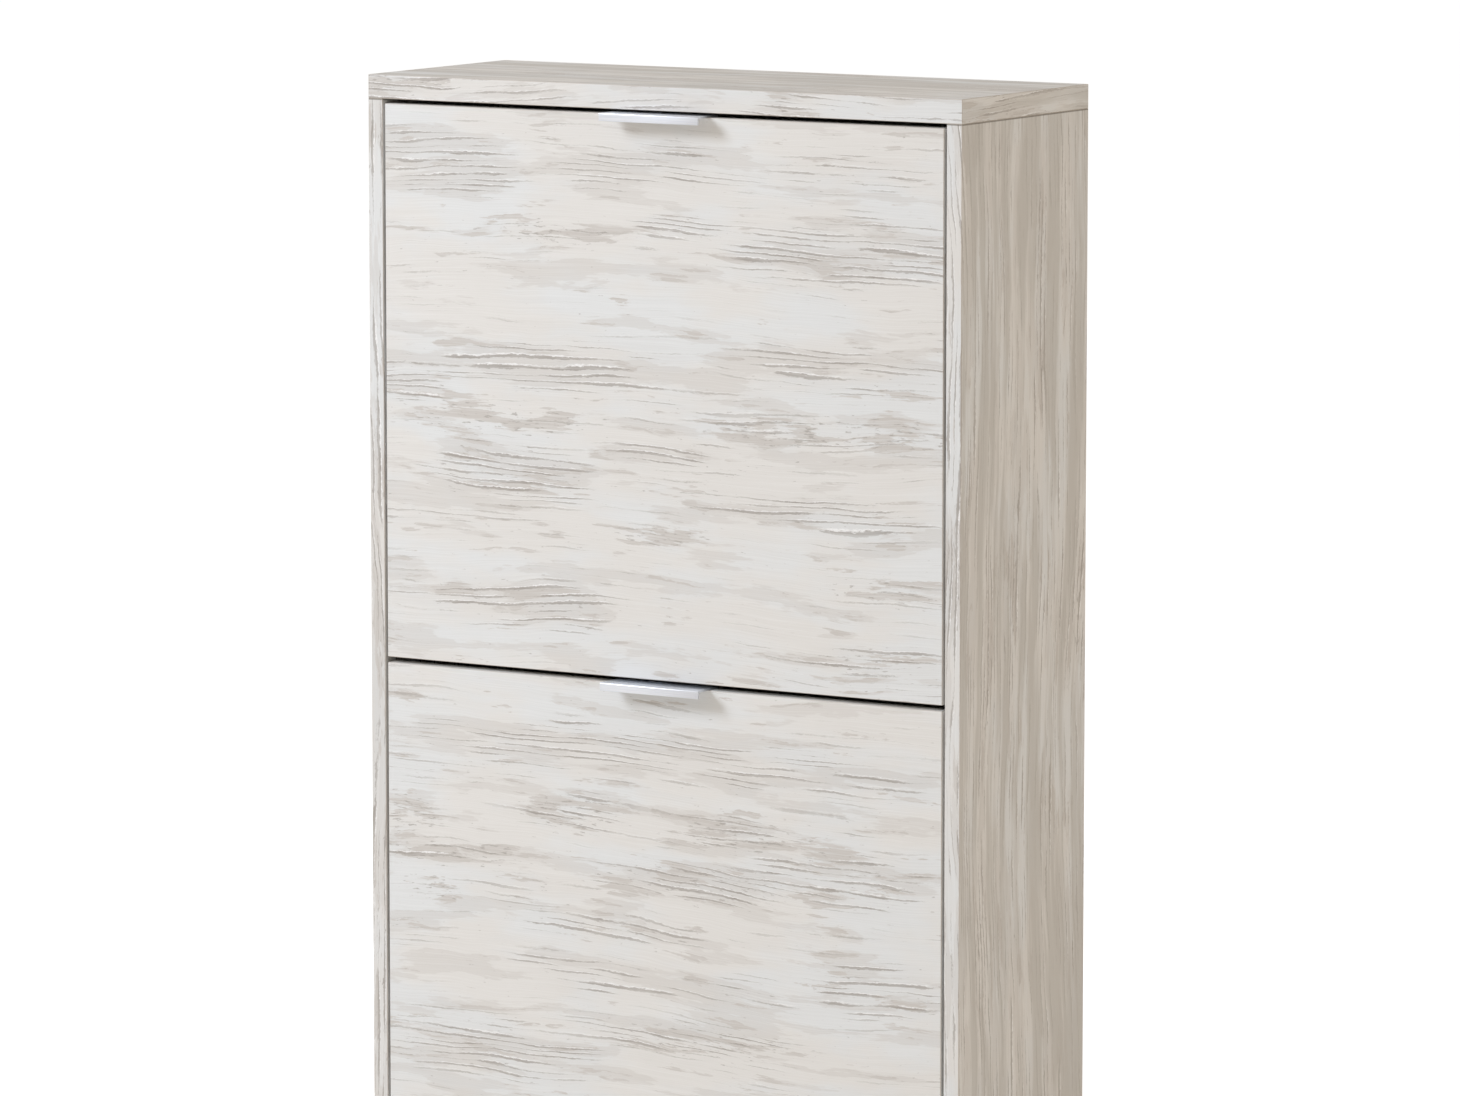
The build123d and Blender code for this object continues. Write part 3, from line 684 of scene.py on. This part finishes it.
def screwPlaces(nodeName):
    # the top of each head, which way it looks, the screw's length and the head's radius
    endZone = 0.2 * mm
    places = []
    for low, high, solid in solidsOf(nodeName):
        size, middle = high - low, (low + high) / 2
        axis = max(range(3), key=lambda i: size[i])
        spread = []
        for end in (low[axis], high[axis]):
            near = [point - middle for point in solid if abs(point[axis] - end) < endZone]
            spread.append(max(point.length_squared - point[axis] ** 2 for point in near))
        sign = -1 if spread[0] > spread[1] else 1
        head, aim = middle.copy(), Vector((0, 0, 0))
        head[axis] = low[axis] if sign < 0 else high[axis]
        aim[axis] = sign
        places.append((head, aim, size[axis], size[(axis + 1) % 3] / 2))
    return places


def turned(profile, sides):
    # a closed shape turned from (radius, height) points, the first and last on the axis
    shape = bmesh.new()
    rings = []
    for radius, height in profile:
        count = sides if radius > 0 else 1
        turns = [2 * math.pi * i / sides for i in range(count)]
        points = [(radius * math.cos(t), radius * math.sin(t), height) for t in turns]
        rings.append([shape.verts.new(point) for point in points])
    for upper, lower in zip(rings, rings[1:]):
        for i in range(sides):
            j = (i + 1) % sides
            around = ((upper, i), (lower, i), (lower, j), (upper, j))
            corners = [ring[k % len(ring)] for ring, k in around]
            shape.faces.new(list(dict.fromkeys(corners)))
    bmesh.ops.recalc_face_normals(shape, faces=shape.faces)
    return shape


def screwHead(name, radius, countersunk):
    s = screws
    if countersunk:
        land = 0.15 * mm
        profile = [(0, 0), (radius - land, 0), (radius, -land)]
        profile += [(radius / 2, -radius / 2), (0, -radius / 2)]
    else:
        edge, height, land = s["headEdge"] * mm, s["headHeight"] * mm, 0.1 * mm
        quarter = [math.radians(15 * i) for i in range(7)]
        profile = [(0, 0)]
        profile += [(radius - edge + edge * math.sin(a), edge * (math.cos(a) - 1)) for a in quarter]
        profile += [(radius, land - height), (radius - land, -height), (0, -height)]
    shape = turned(profile, s["headSides"])
    mesh = bpy.data.meshes.new(name)
    shape.to_mesh(mesh)
    shape.free()
    head = bpy.data.objects.new(name, mesh)
    bpy.context.collection.objects.link(head)

    # cross recess, narrower at its foot
    half, arm = s["recessWidth"] / 2 * mm, radius * s["recessReach"]
    outline = [
        (arm, half), (half, half), (half, arm), (-half, arm), (-half, half), (-arm, half),
        (-arm, -half), (-half, -half), (-half, -arm), (half, -arm), (half, -half), (arm, -half),
    ]
    cross = bmesh.new()
    top = [cross.verts.new((x, y, 0.2 * mm)) for x, y in outline]
    narrow, deep = s["recessFoot"], s["recessDepth"] * mm
    foot = [cross.verts.new((x * narrow, y * narrow, -deep)) for x, y in outline]
    cross.faces.new(top)
    cross.faces.new(foot)
    for i, corner in enumerate(top):
        j = (i + 1) % len(top)
        cross.faces.new([corner, foot[i], foot[j], top[j]])
    bmesh.ops.recalc_face_normals(cross, faces=cross.faces)
    crossMesh = bpy.data.meshes.new("recess")
    cross.to_mesh(crossMesh)
    cross.free()
    cutter = bpy.data.objects.new("recess", crossMesh)
    bpy.context.collection.objects.link(cutter)
    cut = head.modifiers.new("recess", "BOOLEAN")
    cut.operation = "DIFFERENCE"
    cut.solver = "EXACT"
    cut.object = cutter
    mesh = evaluatedMesh(head)
    bpy.data.objects.remove(cutter)
    head = bpy.data.objects.new(name, mesh)
    bpy.context.collection.objects.link(head)
    return head


def screwTree():
    tree = bpy.data.node_groups.new("threadedScrews", "GeometryNodeTree")
    add = partial(addNode, tree)
    sockets = {
        "Places": "Geometry", "Head": "Object", "Finish": "Material", "Shank Radius": "Float",
        "Length": "Float", "Pitch": "Float", "Thread Height": "Float", "Seed": "Int",
    }
    for name, kind in sockets.items():
        tree.interface.new_socket(name, in_out="INPUT", socket_type="NodeSocket" + kind)
    tree.interface.new_socket("Screws", in_out="OUTPUT", socket_type="NodeSocketGeometry")
    given = add("NodeGroupInput").node.outputs
    down = add("Math", {0: given["Length"], 1: -0.5}, operation="MULTIPLY")
    start = add("Math", {0: given["Length"], 1: -1.0}, operation="MULTIPLY")
    sides = screws["shankSides"]
    values = {"Vertices": sides, "Radius": given["Shank Radius"], "Depth": given["Length"]}
    shank = add("GeometryNodeMeshCylinder", values)
    values = {"Geometry": shank, "Translation": add("CombineXYZ", {"Z": down})}
    shank = add("GeometryNodeTransform", values)
    values = {0: given["Length"], 1: screws["threadLength"]}
    threadLength = add("Math", values, operation="MULTIPLY")
    turns = add("Math", {0: threadLength, 1: given["Pitch"]}, operation="DIVIDE")
    values = {
        "Resolution": sides, "Rotations": turns, "Start Radius": given["Shank Radius"],
        "End Radius": given["Shank Radius"], "Height": threadLength,
    }
    helix = add("GeometryNodeCurveSpiral", values)
    values = {"Resolution": 3, "Radius": given["Thread Height"]}     # a V thread
    ridge = add("GeometryNodeCurvePrimitiveCircle", values, mode="RADIUS")
    values = {"Curve": helix, "Profile Curve": ridge, "Fill Caps": True}
    thread = add("GeometryNodeCurveToMesh", values)
    values = {"Geometry": thread, "Translation": add("CombineXYZ", {"Z": start})}
    thread = add("GeometryNodeTransform", values)
    head = add("GeometryNodeObjectInfo", {"Object": given["Head"]}, out="Geometry")
    join = add("GeometryNodeJoinGeometry").node
    for part in (shank, thread, head):
        tree.links.new(part, join.inputs[0])
    aim = add("GeometryNodeInputNamedAttribute", {"Name": "aim"}, data_type="FLOAT_VECTOR")
    facing = add("FunctionNodeAlignRotationToVector", {"Vector": aim}, axis="Z")
    turn = add("FunctionNodeRandomValue", {2: 0.0, 3: math.pi / 2, "Seed": given["Seed"]}, out=1)
    spin = add("FunctionNodeAxisAngleToRotation", {"Axis": (0, 0, 1), "Angle": turn})
    facing = add("FunctionNodeRotateRotation", {0: facing, 1: spin}, rotation_space="LOCAL")
    values = {"Points": given["Places"], "Instance": join.outputs[0], "Rotation": facing}
    copies = add("GeometryNodeInstanceOnPoints", values)
    real = add("GeometryNodeRealizeInstances", {0: copies})
    coated = add("GeometryNodeSetMaterial", {"Geometry": real, "Material": given["Finish"]})
    add("NodeGroupOutput", {0: coated})
    return tree


threadedScrews = screwTree()
socketId = {item.name: item.identifier for item in threadedScrews.interface.items_tree}
for nodeName in list(nodes):
    if not nodeName.endswith(("handle_screws", "cheek_screws", "plate_screws")):
        continue
    places = screwPlaces(nodeName)
    length, radius = places[0][2], places[0][3]
    countersunk = nodeName.endswith("plate_screws")
    head = screwHead(nodeName + "_head", radius, countersunk)
    spots = bpy.data.meshes.new(nodeName + "_places")
    spots.from_pydata([spot[0] for spot in places], [], [])
    aims = spots.attributes.new("aim", "FLOAT_VECTOR", "POINT")
    for index, spot in enumerate(places):
        aims.data[index].vector = spot[1]
    item = bpy.data.objects.new("screwing", spots)
    bpy.context.collection.objects.link(item)
    modifier = item.modifiers.new("screws", "NODES")
    modifier.node_group = threadedScrews
    threadHeight = screws["threadHeight"] * mm
    chosen = {
        "Head": head,
        "Finish": materials["zincPlatedSteel"],
        "Shank Radius": radius / 2 - threadHeight,
        "Length": length,
        "Pitch": screws["threadPitch"] * mm,
        "Thread Height": threadHeight,
        "Seed": screws["turnSeed"],
    }
    for name, value in chosen.items():
        modifier[socketId[name]] = value
    mesh = evaluatedMesh(item)
    bpy.data.objects.remove(head)
    addPiece(nodeName + "_threaded", mesh, nodeName)
print("screws made")

# camera, light and floor: lengths in m, angles in degrees, lens and sensor in mm, powers in W
view = {
    "aimRight": 0.072,      # from the middle of the front
    "aimHeight": 0.6656,
    "distance": 6.71,
    "azimuth": 31.334,
    "elevation": 7.376,
    "lens": 192.46,
    "sensor": 36,
}
light = {
    "keyAzimuth": -47.0,
    "keyElevation": 30.0,
    "keySize": 1.8,
    "keyPower": 158.0,
    "keyColour": "#EBF3FF",
    "fillAzimuth": 100.0,
    "fillElevation": 22.0,
    "fillSize": 2.5,
    "fillPower": 29.6,
    "fillColour": "#FFF3E6",
    "lampDistance": 5.0,
    "lampHeight": 0.75,     # the height that the lamps look at
    "roomColour": "#C2BBB3",
    "floorGlow": 0.64,
    "floorColour": "#F2EEE8",
    "glowColour": "#EEF7FF",
    "floorSize": 60.0,
}


def towards(azimuth, elevation):
    # azimuth 0 is straight in front, and it grows to the right
    turn, rise = math.radians(azimuth), math.radians(elevation)
    level = math.cos(rise)
    return Vector((math.sin(turn) * level, -math.cos(turn) * level, math.sin(rise)))


def place(name, data, target, direction, distance):
    item = bpy.data.objects.new(name, data)
    item.location = Vector(target) + direction * distance
    item.rotation_euler = direction.to_track_quat("Z", "Y").to_euler()
    bpy.context.collection.objects.link(item)
    return item


cameraData = bpy.data.cameras.new("camera")
cameraData.lens = view["lens"]
cameraData.sensor_width = view["sensor"]
direction = towards(view["azimuth"], view["elevation"])
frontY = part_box("plinth")[0].y
aim = (view["aimRight"], frontY, view["aimHeight"])
bpy.context.scene.camera = place("camera", cameraData, aim, direction, view["distance"])

for name in ("key", "fill"):
    lampData = bpy.data.lights.new(name, "AREA")
    lampData.shape = "DISK"
    lampData.size = light[name + "Size"]
    lampData.energy = light[name + "Power"]
    lampData.color = linearColour(light[name + "Colour"])[:3]
    direction = towards(light[name + "Azimuth"], light[name + "Elevation"])
    place(name, lampData, (0, frontY, light["lampHeight"]), direction, light["lampDistance"])

world = bpy.data.worlds.new("studio")
bpy.context.scene.world = world
world.use_nodes = True
room = world.node_tree
room.nodes.clear()
# the backdrop is white to the camera, and a little warmer and darker as light on the cabinet
seen = addNode(room, "Background", {"Color": (1, 1, 1, 1)})
felt = addNode(room, "Background", {"Color": linearColour(light["roomColour"])})
onCamera = addNode(room, "LightPath", out="Is Camera Ray")
sky = addNode(room, "MixShader", {0: onCamera, 1: felt, 2: seen})
addNode(room, "OutputWorld", {"Surface": sky})

half = light["floorSize"] / 2
floorCorners = [(-half, -half, 0), (half, -half, 0), (half, half, 0), (-half, half, 0)]
floorMesh = bpy.data.meshes.new("floor")
floorMesh.from_pydata(floorCorners, [], [(0, 1, 2, 3)])
floor = bpy.data.objects.new("floor", floorMesh)
bpy.context.collection.objects.link(floor)
floorMaterial, floorTree, floorShader = newMaterial("paintedFloor", Roughness=0.9)
floorShader.inputs["Base Color"].default_value = linearColour(light["floorColour"])
floorShader.inputs["Emission Color"].default_value = linearColour(light["glowColour"])
# the floor glows for the camera only, so that it fades into the backdrop
values = {0: addNode(floorTree, "LightPath", out="Is Camera Ray"), 1: light["floorGlow"]}
glow = addNode(floorTree, "Math", values, operation="MULTIPLY")
floorTree.links.new(glow, floorShader.inputs["Emission Strength"])
floorMesh.materials.append(floorMaterial)
bpy.context.scene.view_settings.view_transform = "Standard"
print("camera, light and floor set")
